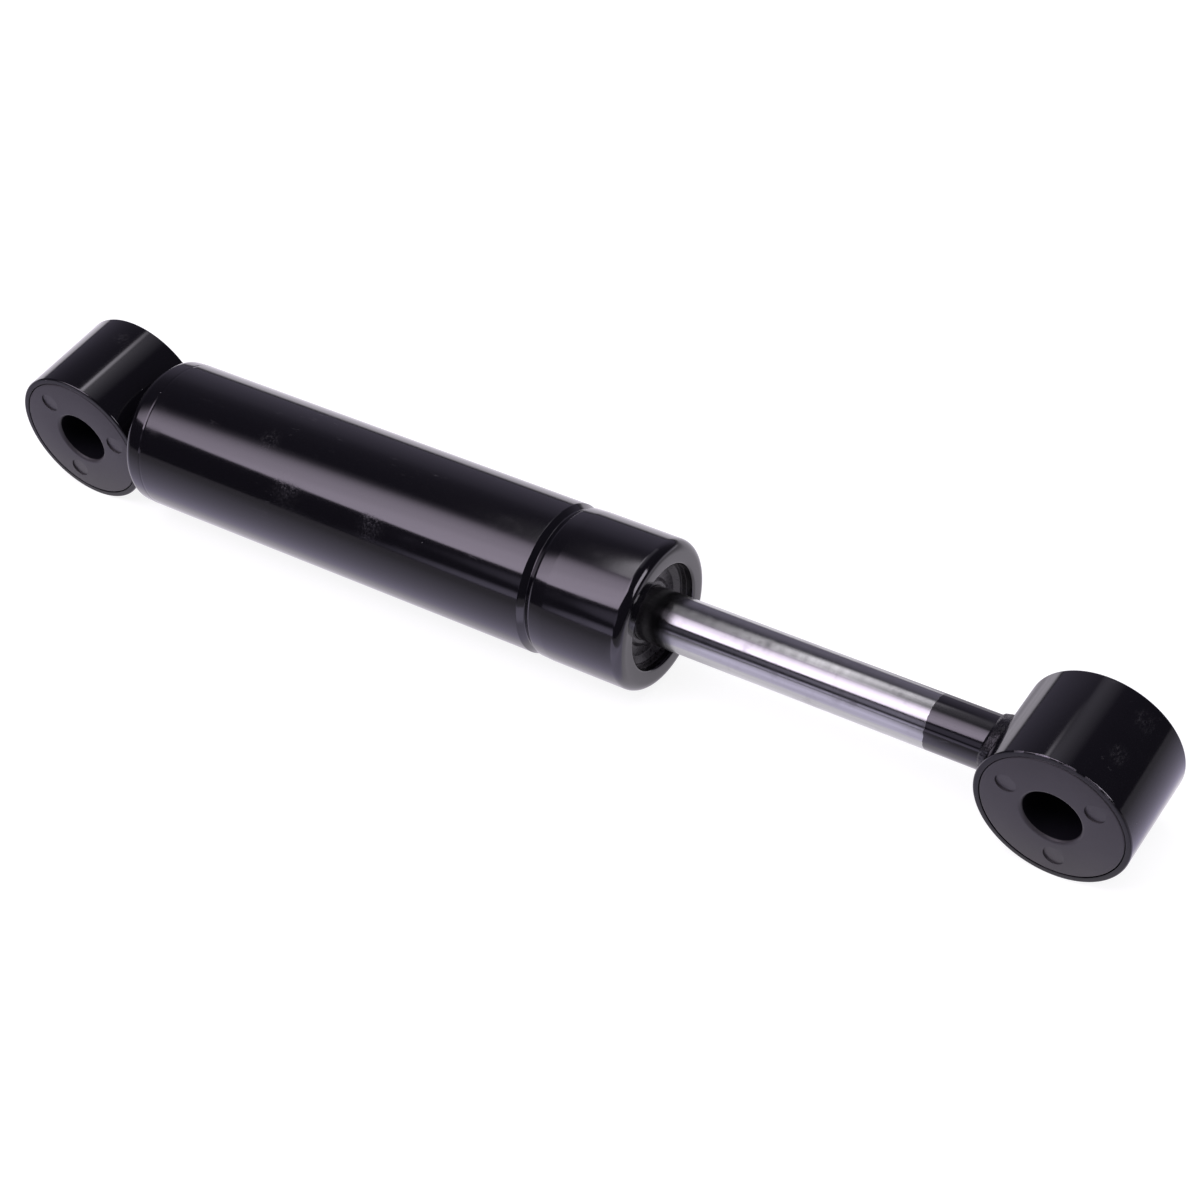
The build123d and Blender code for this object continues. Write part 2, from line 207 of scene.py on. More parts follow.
# %% Make the node tools
class Graph:
    """A node tree with short calls for the nodes that the recipes use."""

    def __init__(self, tree):
        self.tree = tree

    def add(self, kind, **settings):
        node = self.tree.nodes.new(kind)
        for setting, value in settings.items():
            setattr(node, setting, value)
        return node

    def feed(self, socket, value):
        """Links a socket if the value comes from a node, and sets it otherwise."""
        if isinstance(value, bpy.types.NodeSocket):
            self.tree.links.new(value, socket)
        else:
            socket.default_value = value

    def math(self, operation, first, second=0.0):
        node = self.add("ShaderNodeMath", operation=operation)
        self.feed(node.inputs[0], first)
        self.feed(node.inputs[1], second)
        return node.outputs[0]

    def times(self, first, second):
        return self.math("MULTIPLY", first, second)

    def plus(self, first, second):
        return self.math("ADD", first, second)

    def largest(self, first, second):
        return self.math("MAXIMUM", first, second)

    def vectors(self, operation, first, second):
        node = self.add("ShaderNodeVectorMath", operation=operation)
        self.feed(node.inputs[0], first)
        self.feed(node.inputs[1], second)
        return node.outputs["Vector"]

    def dot(self, vector, along):
        node = self.add("ShaderNodeVectorMath", operation="DOT_PRODUCT")
        self.feed(node.inputs[0], vector)
        node.inputs[1].default_value = along
        return node.outputs["Value"]

    def split(self, vector):
        node = self.add("ShaderNodeSeparateXYZ")
        self.feed(node.inputs["Vector"], vector)
        return node.outputs

    def ramp(self, value, low, high, start=0.0, end=1.0):
        """Value from low to high, eased into start to end."""
        node = self.add("ShaderNodeMapRange", interpolation_type="SMOOTHSTEP")
        for socket, number in zip(node.inputs, (value, low, high, start, end)):
            self.feed(socket, number)
        return node.outputs["Result"]

    def curve(self, value, stops):
        """Value turned into a grey by stops of (place from 0 to 1, grey)."""
        node = self.add("ShaderNodeValToRGB")
        self.feed(node.inputs["Fac"], value)
        elements = node.color_ramp.elements
        for element, (place, grey) in zip(elements, (stops[0], stops[-1])):
            element.position, element.color = place, (grey, grey, grey, 1)
        for place, grey in stops[1:-1]:
            elements.new(place).color = (grey, grey, grey, 1)
        return node.outputs["Color"]

    def mix(self, mask, first, second):
        """Two colours mixed by a mask."""
        node = self.add("ShaderNodeMix", data_type="RGBA")
        self.feed(node.inputs["Factor"], mask)
        for socket, value in (("A_Color", first), ("B_Color", second)):
            found = next(s for s in node.inputs if s.identifier == socket)
            self.feed(found, value)
        return next(s for s in node.outputs if s.identifier == "Result_Color")

    def blend(self, mask, first, second):
        """Two numbers mixed by a mask."""
        node = self.add("ShaderNodeMix", data_type="FLOAT")
        for socket, value in zip(node.inputs[0:1] + node.inputs[2:4], (mask, first, second)):
            self.feed(socket, value)
        return node.outputs["Result"]


# %% [markdown]
# ## Tools for materials
#
# A recipe is a node tree with one Principled shader. All its patterns are worked out from Object
# coordinates, in millimetres, so they stay on the metal when the rod slides, and a grain has its
# real size on every piece.

# %% Make the recipe for a material
class Recipe(Graph):
    """A material with one Principled shader, patterned by Object coordinates."""

    def __init__(self, name, **sockets):
        self.material = bpy.data.materials.new(name)
        self.material.use_nodes = True
        super().__init__(self.material.node_tree)
        self.shader = self.tree.nodes["Principled BSDF"]
        self.place = self.add("ShaderNodeTexCoord").outputs["Object"]
        for socket, value in sockets.items():
            self.set(socket.replace("_", " "), value)

    def set(self, socket, value):
        self.feed(self.shader.inputs[socket], value)

    def mapped(self, scale=(1, 1, 1), shift=(0, 0, 0)):
        """Object coordinates moved by shift, in millimetres, and stretched by scale."""
        node = self.add("ShaderNodeMapping")
        self.feed(node.inputs["Vector"], self.place)
        node.inputs["Location"].default_value = [s * MM * k for s, k in zip(shift, scale)]
        node.inputs["Scale"].default_value = scale
        return node.outputs["Vector"]

    def noise(self, grain, detail=3.0, rough=0.5, scale=(1, 1, 1), shift=(0, 0, 0)):
        """Noise whose blotches are about grain millimetres across."""
        node = self.add("ShaderNodeTexNoise")
        self.feed(node.inputs["Vector"], self.mapped(scale, shift))
        node.inputs["Scale"].default_value = 1 / (grain * MM)
        node.inputs["Detail"].default_value = detail
        node.inputs["Roughness"].default_value = rough
        return node.outputs["Fac"]

    def specks(self, spacing, size, share):
        """Small round specks, one in each of a share of cells that are spacing millimetres wide."""
        cells = self.add("ShaderNodeTexVoronoi")
        self.feed(cells.inputs["Vector"], self.place)
        cells.inputs["Scale"].default_value = 1 / (spacing * MM)
        dots = self.ramp(cells.outputs["Distance"], size / spacing, 0.4 * size / spacing)
        split = self.add("ShaderNodeSeparateColor")
        self.feed(split.inputs["Color"], cells.outputs["Color"])
        chosen = self.math("LESS_THAN", split.outputs["Red"], share)
        return self.times(dots, chosen)

    def axis(self, name):
        return self.split(self.place)[name]

    def relief(self, height, depth):
        """Bump whose height of 1 stands for depth millimetres."""
        node = self.add("ShaderNodeBump")
        node.inputs["Distance"].default_value = depth * MM
        self.feed(node.inputs["Height"], height)
        self.set("Normal", node.outputs["Normal"])


# %% [markdown]
# ## Black enamel
#
# The tube, the welds and the eyes are dipped or sprayed in gloss black. The paint is almost a
# mirror, so its look is made by three small faults: a faint orange peel that makes the edges of
# reflections swim, dull smudges from handling, and a few specks of dust caught under the gloss.

# %% Mix the enamel
ENAMEL = (0.0030, 0.0027, 0.0042, 1)
DUST = (0.30, 0.29, 0.31, 1)
ENAMEL_IOR = 1.7
PAINT_RELIEF = 0.006


def enamel_parts(recipe, rubs=()):
    """Colour, roughness and relief height of the enamel. A rub is (place, radius) in mm."""
    smudge = recipe.ramp(recipe.noise(7.0, 4, 0.62, (0.6, 1, 1)), 0.56, 0.72)
    scuffs = recipe.ramp(recipe.noise(1.1, 5, 0.7, (0.35, 1, 1.6), (3, 1, 2)), 0.60, 0.68)
    patches = recipe.ramp(recipe.noise(16.0, 2, 0.5, shift=(5, 9, 4)), 0.55, 0.66)
    scuffs = recipe.times(scuffs, patches)
    specks = recipe.specks(2.6, 0.09, 0.16)
    dirt = recipe.largest(specks, recipe.times(scuffs, 0.05))
    colour = recipe.mix(dirt, ENAMEL, DUST)
    rough = recipe.plus(recipe.times(smudge, 0.05),
                        recipe.times(scuffs, 0.16))
    rough = recipe.plus(rough, 0.10)
    peel = recipe.noise(1.6, 2, 0.4)
    height = recipe.plus(recipe.times(peel, 0.35), recipe.times(specks, 0.5))
    if rubs:
        grit = recipe.ramp(recipe.noise(0.45, 5, 0.75, (1, 0.5, 1), (7, 2, 5)), 0.44, 0.74)
        for place, radius in rubs:
            gap = recipe.add("ShaderNodeVectorMath", operation="DISTANCE")
            recipe.feed(gap.inputs[0], recipe.place)
            gap.inputs[1].default_value = [part * MM for part in place]
            near = recipe.ramp(gap.outputs["Value"], radius * MM, 0.0)
            rubbed = recipe.times(near, grit)
            colour = recipe.mix(recipe.times(rubbed, 0.12), colour, DUST)
            rough = recipe.plus(rough, recipe.times(rubbed, 0.15))
            height = recipe.plus(height, recipe.times(rubbed, 1.2))
    return colour, rough, height


def black_enamel(name, rubs=()):
    recipe = Recipe(name, IOR=ENAMEL_IOR)
    colour, rough, height = enamel_parts(recipe, rubs)
    recipe.set("Base Color", colour)
    recipe.set("Roughness", rough)
    recipe.relief(height, PAINT_RELIEF)
    return recipe.material


def weld_enamel():
    """Enamel over soot and spatter: dull and gritty."""
    recipe = Recipe("black_enamel_weld", IOR=ENAMEL_IOR)
    grit = recipe.noise(0.6, 4, 0.65)
    recipe.set("Base Color", ENAMEL)
    recipe.set("Specular IOR Level", 0.32)
    recipe.set("Roughness", recipe.ramp(grit, 0.3, 0.7, 0.16, 0.36))
    recipe.relief(grit, 0.10)
    return recipe.material


TUBE_RUBS = (((45.3, -4.7, 13.2), 3.0), ((52.6, -10.8, 8.9), 4.5), ((72.0, -11.2, 8.4), 4.0))

enamel = black_enamel("black_enamel")
tube_enamel = black_enamel("black_enamel_tube", TUBE_RUBS)
weld_black = weld_enamel()
print("made", enamel.name, "and two more")

# %% [markdown]
# ## Worn enamel on the eyes
#
# The eyes are knocked about more than the tube. Along the sharp edge of each face the paint is
# rubbed thin, and bright steel shows in broken glints. The mask is the distance from the eye's own
# axis and from its middle, so it finds the edge, and a noise breaks it up. The sawn faces took the
# paint thinly and stay dull.

# %% Mix the worn enamel
WORN_STEEL = (0.22, 0.21, 0.23, 1)


def worn_enamel(name, eye_x, wear, knocks, rubs):
    """Enamel rubbed thin on the edges at the knocks, (angle, half width), and dulled at the rubs,
    (place, radius)."""
    recipe = Recipe(name, IOR=ENAMEL_IOR)
    colour, rough, height = enamel_parts(recipe, rubs)
    spoke = recipe.mapped((1, 0, 1), (-eye_x, 0, 0))
    reach = recipe.add("ShaderNodeVectorMath", operation="LENGTH")
    recipe.feed(reach.inputs[0], spoke)
    side = recipe.math("ABSOLUTE", recipe.axis("Y"))
    out = recipe.plus(reach.outputs["Value"], side)
    edge = recipe.ramp(out, (EYE_R + EYE_HALF - 0.30) * MM, (EYE_R + EYE_HALF - 0.22) * MM)
    knocked = 0.0
    for angle, half in knocks:
        toward = math.radians(angle)
        along = recipe.dot(spoke, (math.cos(toward), 0, math.sin(toward)))
        low, high = [EYE_R * MM * math.cos(math.radians(half + ease)) for ease in (9, -4)]
        knocked = recipe.largest(recipe.ramp(along, low, high), knocked)
    broken = recipe.ramp(recipe.noise(2.2, 4, 0.6, shift=(0, 3, 0)), 0.54 - wear, 0.62 - wear)
    worn = recipe.times(edge, recipe.times(broken, knocked))
    recipe.set("Base Color", recipe.mix(worn, colour, WORN_STEEL))
    recipe.set("Metallic", worn)
    face = recipe.ramp(side, (EYE_HALF - 0.12) * MM, (EYE_HALF - 0.04) * MM)
    recipe.set("Specular IOR Level", recipe.blend(face, 0.5, 0.22))
    recipe.set("Roughness", recipe.blend(worn, recipe.blend(face, rough, 0.42), 0.40))
    recipe.relief(height, PAINT_RELIEF)
    return recipe.material


TUBE_EYE_KNOCKS = ((200, 20),)
TUBE_EYE_RUBS = (((1.4, 5.4, 13.9), 2.2),)
ROD_EYE_KNOCKS = ((80, 34), (280, 11))
ROD_EYE_RUBS = (((213.3, 6.0, 11.3), 2.8), ((212.8, -2.5, 11.7), 2.6))

tube_eye_enamel = worn_enamel("black_enamel_tube_eye", 0.0, 0.0, TUBE_EYE_KNOCKS, TUBE_EYE_RUBS)
rod_eye_enamel = worn_enamel("black_enamel_rod_eye", ROD_EYE_X, 0.10, ROD_EYE_KNOCKS, ROD_EYE_RUBS)
print("made", tube_eye_enamel.name, "and", rod_eye_enamel.name)

# %% [markdown]
# ## Chrome and its paint line
#
# The rod is ground and hard chromed. Grinding leaves fine rings, far finer than a pixel, which
# smear reflections a little along the rod. The last stretch is painted with the rod eye, and
# the paint ends in a slightly ragged line where the mask was. One material carries both: a mask
# along X decides between metal and paint, which keeps the line sharp without a seam in the mesh.

# %% Mix the rod's finish
PAINT_LINE = 179.3
CHROME = (0.40, 0.41, 0.395, 1)
DRAWN_CHROME = (0.325, 0.33, 0.32, 1)
STAINED_CHROME = (0.30, 0.30, 0.295, 1)


def rod_finish():
    recipe = Recipe("chrome_and_paint", IOR=ENAMEL_IOR)
    along_rod = recipe.add("ShaderNodeCombineXYZ")
    along_rod.inputs["X"].default_value = 1.0
    recipe.set("Tangent", along_rod.outputs["Vector"])
    paint, paint_rough, paint_height = enamel_parts(recipe)
    ragged = recipe.noise(1.4, 4, 0.6)
    edge = recipe.plus(recipe.axis("X"), recipe.times(ragged, -0.0007))
    painted = recipe.ramp(edge, (PAINT_LINE - 0.40) * MM, (PAINT_LINE - 0.30) * MM)
    rings = recipe.noise(0.12, 2, 0.6, (1, 0.02, 0.02))
    bands = recipe.noise(1.5, 3, 0.6, (1, 0.06, 0.06))
    stain = recipe.ramp(recipe.noise(5.0, 4, 0.6), 0.52, 0.70)
    drawn = recipe.ramp(recipe.noise(0.5, 3, 0.6, (0.04, 1, 1)), 0.35, 0.70)
    metal = recipe.mix(recipe.times(drawn, 0.35), CHROME, DRAWN_CHROME)
    metal = recipe.mix(recipe.times(stain, 0.5), metal, STAINED_CHROME)
    metal_rough = recipe.plus(recipe.ramp(bands, 0.3, 0.7, 0.135, 0.175),
                              recipe.times(stain, 0.06))
    recipe.set("Base Color", recipe.mix(painted, metal, paint))
    bare = recipe.math("SUBTRACT", 1.0, painted)
    recipe.set("Metallic", bare)
    recipe.set("Anisotropic", recipe.times(bare, 0.72))
    recipe.set("Roughness", recipe.blend(painted, metal_rough, paint_rough))
    recipe.relief(recipe.blend(painted, recipe.times(rings, 0.04), paint_height), PAINT_RELIEF)
    return recipe.material


chrome = rod_finish()
print("made", chrome.name)

# %% [markdown]
# ## Moulded plastic and rubber
#
# The bushings are moulded in dark grey, filled plastic with a satin skin: a fine grain in the
# colour and the relief, and faint clouds where the melt flowed. Their bores are painted near black
# and dull, as painted shade deep in the hole, and an attribute of the mesh says where. The seal
# disc in the tube's mouth is harder and smoother. The soft pieces inside are plain black rubber.

# %% Mix the plastics and rubbers
SHADED_BORE = (0.006, 0.0055, 0.008, 1)


def moulded(name, colour, roughness, grain, depth, cloud=0.25):
    recipe = Recipe(name)
    fine = recipe.noise(grain, 3, 0.6)
    flow = recipe.noise(9.0, 3, 0.5, shift=(2, 5, 7))
    shade = recipe.plus(recipe.ramp(fine, 0.3, 0.7, 0, 0.5), recipe.ramp(flow, 0.3, 0.7, 0, 0.5))
    darker = [part * (1 - cloud) for part in colour] + [1]
    lighter = [part * (1 + cloud) for part in colour] + [1]
    # Painted shade: where the bore attribute is 1, the hole is painted near black and its shine
    # turned down.
    bore = recipe.add("ShaderNodeAttribute", attribute_name="bore").outputs["Fac"]
    recipe.set("Base Color", recipe.mix(bore, recipe.mix(shade, darker, lighter), SHADED_BORE))
    recipe.set("Specular IOR Level", recipe.blend(bore, 0.5, 0.12))
    recipe.set("Roughness", recipe.ramp(fine, 0.2, 0.8, roughness - 0.06, roughness + 0.06))
    recipe.relief(fine, depth)
    return recipe.material


bushing_plastic = moulded("bushing_plastic", (0.0485, 0.0445, 0.0495), 0.46, 0.25, 0.010, 0.14)
cap_plastic = moulded("cap_plastic", (0.042, 0.039, 0.043), 0.30, 0.55, 0.015, 0.5)
seal_rubber = moulded("seal_rubber", (0.012, 0.012, 0.012), 0.55, 0.20, 0.010)
bumper_rubber = moulded("bumper_rubber", (0.020, 0.019, 0.018), 0.62, 0.35, 0.015)
ring_plastic = moulded("ring_plastic", (0.055, 0.050, 0.040), 0.38, 0.25, 0.006)
print("made", bushing_plastic.name, "and four more")

# %% [markdown]
# ## Metals inside
#
# The guide, the piston and the small parts on the rod are bare metal. They only show in a section,
# and still each has its own finish: turned steel with fine rings, sintered iron with its open
# grain, and a bronze bush with a dull bearing face.

# %% Mix the metals
def turned_metal(name, colour, roughness, ring, grain):
    """Metal with turning rings about X and a fine grain."""
    recipe = Recipe(name, Metallic=1.0)
    rings = recipe.noise(ring, 2, 0.6, (1, 0.05, 0.05))
    fine = recipe.noise(grain, 4, 0.65)
    darker = [part * 0.75 for part in colour] + [1]
    recipe.set("Base Color", recipe.mix(recipe.ramp(fine, 0.35, 0.65), darker, list(colour) + [1]))
    recipe.set("Roughness", recipe.ramp(rings, 0.3, 0.7, roughness - 0.07, roughness + 0.07))
    recipe.relief(recipe.plus(rings, fine), 0.004)
    return recipe.material


finishes = {
    "plain_steel": turned_metal("plain_steel", (0.42, 0.41, 0.40), 0.34, 0.20, 0.4),
    "spring_steel": turned_metal("spring_steel", (0.36, 0.37, 0.40), 0.26, 0.15, 0.5),
    "guide_metal": turned_metal("guide_metal", (0.50, 0.50, 0.51), 0.36, 0.25, 0.5),
    "sintered_iron": turned_metal("sintered_iron", (0.24, 0.23, 0.22), 0.50, 0.40, 0.12),
    "bush_bronze": turned_metal("bush_bronze", (0.50, 0.30, 0.15), 0.40, 0.30, 0.2),
    "seal_rubber": seal_rubber,
    "bumper_rubber": bumper_rubber,
    "ring_plastic": ring_plastic,
    "bushing_plastic": bushing_plastic,
    "black_enamel": enamel,
    "hard_chrome": chrome,
}
print("finishes:", len(finishes))

# %% [markdown]
# ## Paint the CAD pieces that stay
#
# The record says which finish each node has. A node that nobody sees from outside keeps its CAD
# mesh, and only its material slots are filled with the matching recipe.

# %% Dress every CAD node
finish_of = {part["node"]: part["material_slot"] for part in frame["record"]["subparts"]}
for name, node in nodes.items():
    node.data.materials.clear()
    node.data.materials.append(finishes[finish_of[name]])
print("dressed", len(finish_of), "nodes")


def stand_in(piece, body, node, finish):
    """Gives a new piece its finish and its body, and hides the CAD node that it stands for."""
    piece.data.materials.append(finish)
    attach(piece, body)
    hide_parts(node)


# %% [markdown]
# ## The tube
#
# The tube is drawn steel. Its closed end is rolled over a plug, and near the other end a narrow
# groove is rolled in to hold the guide: a sharp slot, with a shallow dish on the mouth's side,
# because the wall is pulled in there. The mouth is rolled over last, to a round lip. All of it is
# one section, spun once. The inside is part of the same section, so the mesh is a closed wall.

# %% Spin the tube
tube = finish_mesh(spin(section([
    (TUBE_START, MOUTH_R),
    (TUBE_START, TUBE_R - 0.14, 2.0),
    (TUBE_START + 4.0, TUBE_R, 0.3),
    (TUBE_START + 4.3, TUBE_R - 0.035, 0.2),
    (TUBE_START + 4.6, TUBE_R, 0.3),
    (GROOVE_X - 0.8, TUBE_R, 0.35),
    (GROOVE_X + 0.35, TUBE_R - 0.85, 0.3),
    (GROOVE_X + 1.7, TUBE_R - 0.12, 0.35),
    (GROOVE_X + 4.3, TUBE_R, 8.0),
    (TUBE_END, TUBE_R, 2.0),
    (TUBE_END, MOUTH_R, 0.5),
    (TUBE_END - TUBE_WALL, MOUTH_R),
    (TUBE_END - TUBE_WALL, BORE_R, 0.5),
    (GROOVE_X + 2.2, BORE_R, 0.7),
    (GROOVE_X, BORE_R - 0.9, 0.7),
    (GROOVE_X - 2.2, BORE_R, 0.7),
    (TUBE_START + TUBE_WALL, BORE_R, 0.5),
    (TUBE_START + TUBE_WALL, MOUTH_R),
])), "tube_rolled")
stand_in(tube, "cylinder", "cylinder_tube", tube_enamel)

# %% [markdown]
# ## The seal disc in the mouth
#
# A moulded disc closes the mouth round the rod. It has a ledge under the lip, a sloped wall, a sunk
# face and a low collar that wipes the rod. It is one more section for the lathe. Its corners are
# rounded by only a tenth of a millimetre or so, because hard plastic comes out of the mould crisp.

# %% Spin the seal disc
CAP_FACE = CAP_END - 1.8
CAP_LEDGE = CAP_END - 1.0
CAP_COLLAR = CAP_FACE + 0.4
cap = finish_mesh(spin(section([
    (CAP_START, ROD_R + RUNNING_GAP),
    (CAP_START, BORE_R - SEAT_GAP),
    (CAP_END, BORE_R - SEAT_GAP, 0.8),
    (CAP_END, MOUTH_R - SEAT_GAP, 0.1),
    (CAP_LEDGE, MOUTH_R - SEAT_GAP, 0.1),
    (CAP_LEDGE, MOUTH_R - 0.58, 0.12),
    (CAP_FACE, MOUTH_R - 1.53, 0.3),
    (CAP_FACE, 6.34, 0.2),
    (CAP_COLLAR, 5.69, 0.12),
    (CAP_COLLAR, ROD_R + RUNNING_GAP, 0.08),
])), "seal_disc")
stand_in(cap, "cylinder", "seal_cap", cap_plastic)

# %% [markdown]
# ## The rod
#
# A plain ground bar with a spigot at the inner end for the piston. Its outer end runs up to the
# eye's tube and stops inside that wall, where the weld hides it.

# %% Spin the rod
ROD_END = ROD_EYE_X - math.sqrt(EYE_R ** 2 - ROD_R ** 2)
rod = finish_mesh(spin(section([
    (ROD_START, 0),
    (ROD_START, SPIGOT_R - 0.6),
    (ROD_START + 0.6, SPIGOT_R),
    (BUMPER_START, SPIGOT_R),
    (BUMPER_START, ROD_R, 0.1),
    (ROD_END, ROD_R),
    (ROD_END, 0),
], closed=False)), "rod_ground")
stand_in(rod, "rod", "piston_rod", chrome)

# %% [markdown]
# ## The eyes
#
# Each eye is a short length of the same size of tube, laid across. Its edges are only broken, not
# rounded, so they catch a thin line of light.

# %% Spin the eyes
def eye(name, x):
    bm = spin(section([
        (-EYE_HALF, EYE_INNER_R, 0.12),
        (-EYE_HALF, EYE_R, 0.35),
        (EYE_HALF, EYE_R, 0.35),
        (EYE_HALF, EYE_INNER_R, 0.12),
    ]))
    return finish_mesh(lay_across(bm, x), name)


stand_in(eye("tube_eye", 0.0), "cylinder", "tube_eye_ring", tube_eye_enamel)
stand_in(eye("rod_eye", ROD_EYE_X), "rod", "rod_eye_ring", rod_eye_enamel)

# %% [markdown]
# ## The bushings
#
# A bushing is moulded and pressed into its eye. Three ejector pins pushed it out of the mould, and
# each pin left a shallow round mark on one face, a little deeper on one side because the pins stand
# slightly crooked. The body is spun, and each mark is cut with a small tilted disc.

# %% Spin the bushings and cut the pin marks
MARK_R = 1.9
MARK_CIRCLE = (HOLE_R + BUSHING_R) / 2
MARK_TILT = 3.4


def pin_cutter(x, turns):
    """Three short discs that stand where the pins pressed, each tilted by a few degrees."""
    bm = bmesh.new()
    for turn in turns:
        angle = math.radians(turn)
        disc = bmesh.ops.create_cone(bm, cap_ends=True, segments=40, radius1=MARK_R * MM,
                                     radius2=MARK_R * MM, depth=1.0 * MM)["verts"]
        for degrees, axis in ((90, "X"), (MARK_TILT, "X"), (-MARK_TILT, "Z")):
            bmesh.ops.rotate(bm, verts=disc, cent=(0, 0, 0),
                             matrix=Matrix.Rotation(math.radians(degrees), 3, axis))
        bmesh.ops.translate(bm, verts=disc, vec=(
            (x + MARK_CIRCLE * math.cos(angle)) * MM,
            (-EYE_HALF - 0.35) * MM,
            MARK_CIRCLE * math.sin(angle) * MM))
    return finish_mesh(bm, "pin_cutter")


def bushing(name, x, turns):
    bm = spin(section([
        (-EYE_HALF, HOLE_R, 0.7),
        (-EYE_HALF, BUSHING_R, 0.3),
        (EYE_HALF, BUSHING_R, 0.3),
        (EYE_HALF, HOLE_R, 0.7),
    ]))
    piece = finish_mesh(lay_across(bm, x), name)
    cutter = pin_cutter(x, turns)
    cut = piece.modifiers.new("pin_marks", "BOOLEAN")
    cut.operation, cut.solver, cut.object = "DIFFERENCE", "EXACT", cutter
    depsgraph = bpy.context.evaluated_depsgraph_get()
    marked = bpy.data.meshes.new_from_object(piece.evaluated_get(depsgraph))
    piece.modifiers.clear()
    piece.data = marked
    bpy.data.objects.remove(cutter)
    marked.shade_smooth()
    marked.set_sharp_from_angle(angle=math.radians(35))
    # The bore attribute marks the hole, which the materials paint with shade.
    bore = marked.attributes.new("bore", "FLOAT", "POINT")
    for point in marked.vertices:
        reach = math.hypot(point.co.x - x * MM, point.co.z)
        bore.data[point.index].value = 1.0 if reach < (HOLE_R + 0.02) * MM else 0.0
    print(name, "has", len(marked.polygons), "faces after its marks are cut")
    return piece


tube_bushing = bushing("tube_bushing", 0.0, (11, 131, 251))
stand_in(tube_bushing, "cylinder", "tube_eye_bushing", bushing_plastic)
rod_bushing = bushing("rod_bushing", ROD_EYE_X, (33, 153, 273))
stand_in(rod_bushing, "rod", "rod_eye_bushing", bushing_plastic)

# %% [markdown]
# ## The welds
#
# A weld bead is laid by hand in overlapping drops, so it is never quite even. Each bead is spun
# like the other pieces, then bent to follow the round eye, and a smooth noise makes the lumps.
# Moving the points by noise in code keeps the bead a closed mesh of modest size.

# %% Lay the welds
DROPS_ROUND = 3.4
RIPPLES_ROUND = 13


def saddle(z):
    """How far the eye's surface lies behind its nearest point, at a height z, in metres."""
    return EYE_R * MM - math.sqrt(max((EYE_R * MM) ** 2 - z * z, 0))


def bead(name, corners, face, side, lumps, seed):
    """A bead against an eye. Corners are (distance from the eye, radius), and side is 1 where the
    bead stands before the eye and -1 where it stands behind."""
    bm = spin(section(corners), steps=180)
    for point in bm.verts:
        across = Vector((0, point.co.y, point.co.z))
        radius = across.length
        out = across.normalized()
        drops = noise.noise(Vector((out.y * DROPS_ROUND, out.z * DROPS_ROUND, seed)))
        fine = noise.noise(Vector((out.y * RIPPLES_ROUND, out.z * RIPPLES_ROUND,
                                   2 * point.co.x / MM + seed)))
        swell = (drops * 0.6 + fine * 0.4) * lumps * MM
        grown = radius + swell * min(1, max(0, (radius / MM - corners[0][1]) / 0.3))
        along = point.co.x + swell * 0.8
        point.co = out * grown
        point.co.x = face * MM + side * (saddle(point.co.z) - along)
    return finish_mesh(bm, name, 60)


rod_weld = bead("rod_weld", [
    (1.9, ROD_R - 0.05),
    (1.5, ROD_R + 0.35, 0.3),
    (0.5, ROD_R + 0.60, 0.5),
    (-0.5, ROD_R + 0.80, 0.2),
    (-0.5, ROD_R - 0.05),
], ROD_EYE_X - EYE_R, 1, 0.16, 4.0)
stand_in(rod_weld, "rod", "rod_eye_weld", weld_black)

tube_weld = bead("tube_weld", [
    (TUBE_START - EYE_R + 0.4, NECK_R - 0.05),
    (TUBE_START - EYE_R + 0.4, NECK_R + 2.6, 0.1),
    (-0.9, NECK_R + 2.0, 0.3),
    (-0.9, NECK_R - 0.05),
], EYE_R, -1, 0.3, 9.0)
stand_in(tube_weld, "cylinder", "tube_eye_weld", weld_black)

# %% [markdown]
# ## The studio
#
# The photo shows the part on pure white, lit by one large soft box from the left front, high up,
# with a dark room overhead: gloss black paint only looks black where it mirrors something dark.
# What matters is then the shape that each lamp draws on tube and rod. Area lamps do that best, and
# a node tree in the lamp lets its brightness vary over its face, as a real soft box's does.

# %% Make the lamp tools
def around_part(azimuth, elevation, distance):
    """A place for a lamp and the way to it. Azimuth 0 is in front, 90 is at the rod eye's side."""
    a, e = math.radians(azimuth), math.radians(elevation)
    toward = Vector((math.sin(a) * math.cos(e), -math.cos(a) * math.cos(e), math.sin(e)))
    return Vector((0.10, 0, 0)) + toward * distance, toward


def lamp(name, place, toward, width, height, radiance, colour):
    """A rectangular lamp of a given brightness, where 1 is as bright as lit white paper."""
    data = bpy.data.lights.new(name, "AREA")
    data.shape, data.size, data.size_y = "RECTANGLE", width, height
    data.energy, data.color = radiance * math.pi * width * height, colour
    obj = bpy.data.objects.new(name, data)
    obj.rotation_mode = "QUATERNION"
    obj.location, obj.rotation_quaternion = place, Vector(toward).to_track_quat("Z", "Y")
    obj.visible_camera = False
    bpy.context.scene.collection.objects.link(obj)
    return obj


def round_corner(graph, x, y):
    """1 on the soft box and 0 past its lower right corner, which is round about (0.55, 0.39)."""
    beside = graph.largest(graph.math("SUBTRACT", graph.times(x, 2.337), 1.281), 0.0)
    under = graph.math("MINIMUM", graph.math("SUBTRACT", graph.times(y, 2.689), 1.049), 0.0)
    reach = graph.math("SQRT", graph.plus(graph.times(beside, beside), graph.times(under, under)))
    return graph.ramp(reach, 0.96, 1.03, 1.0, 0.0)


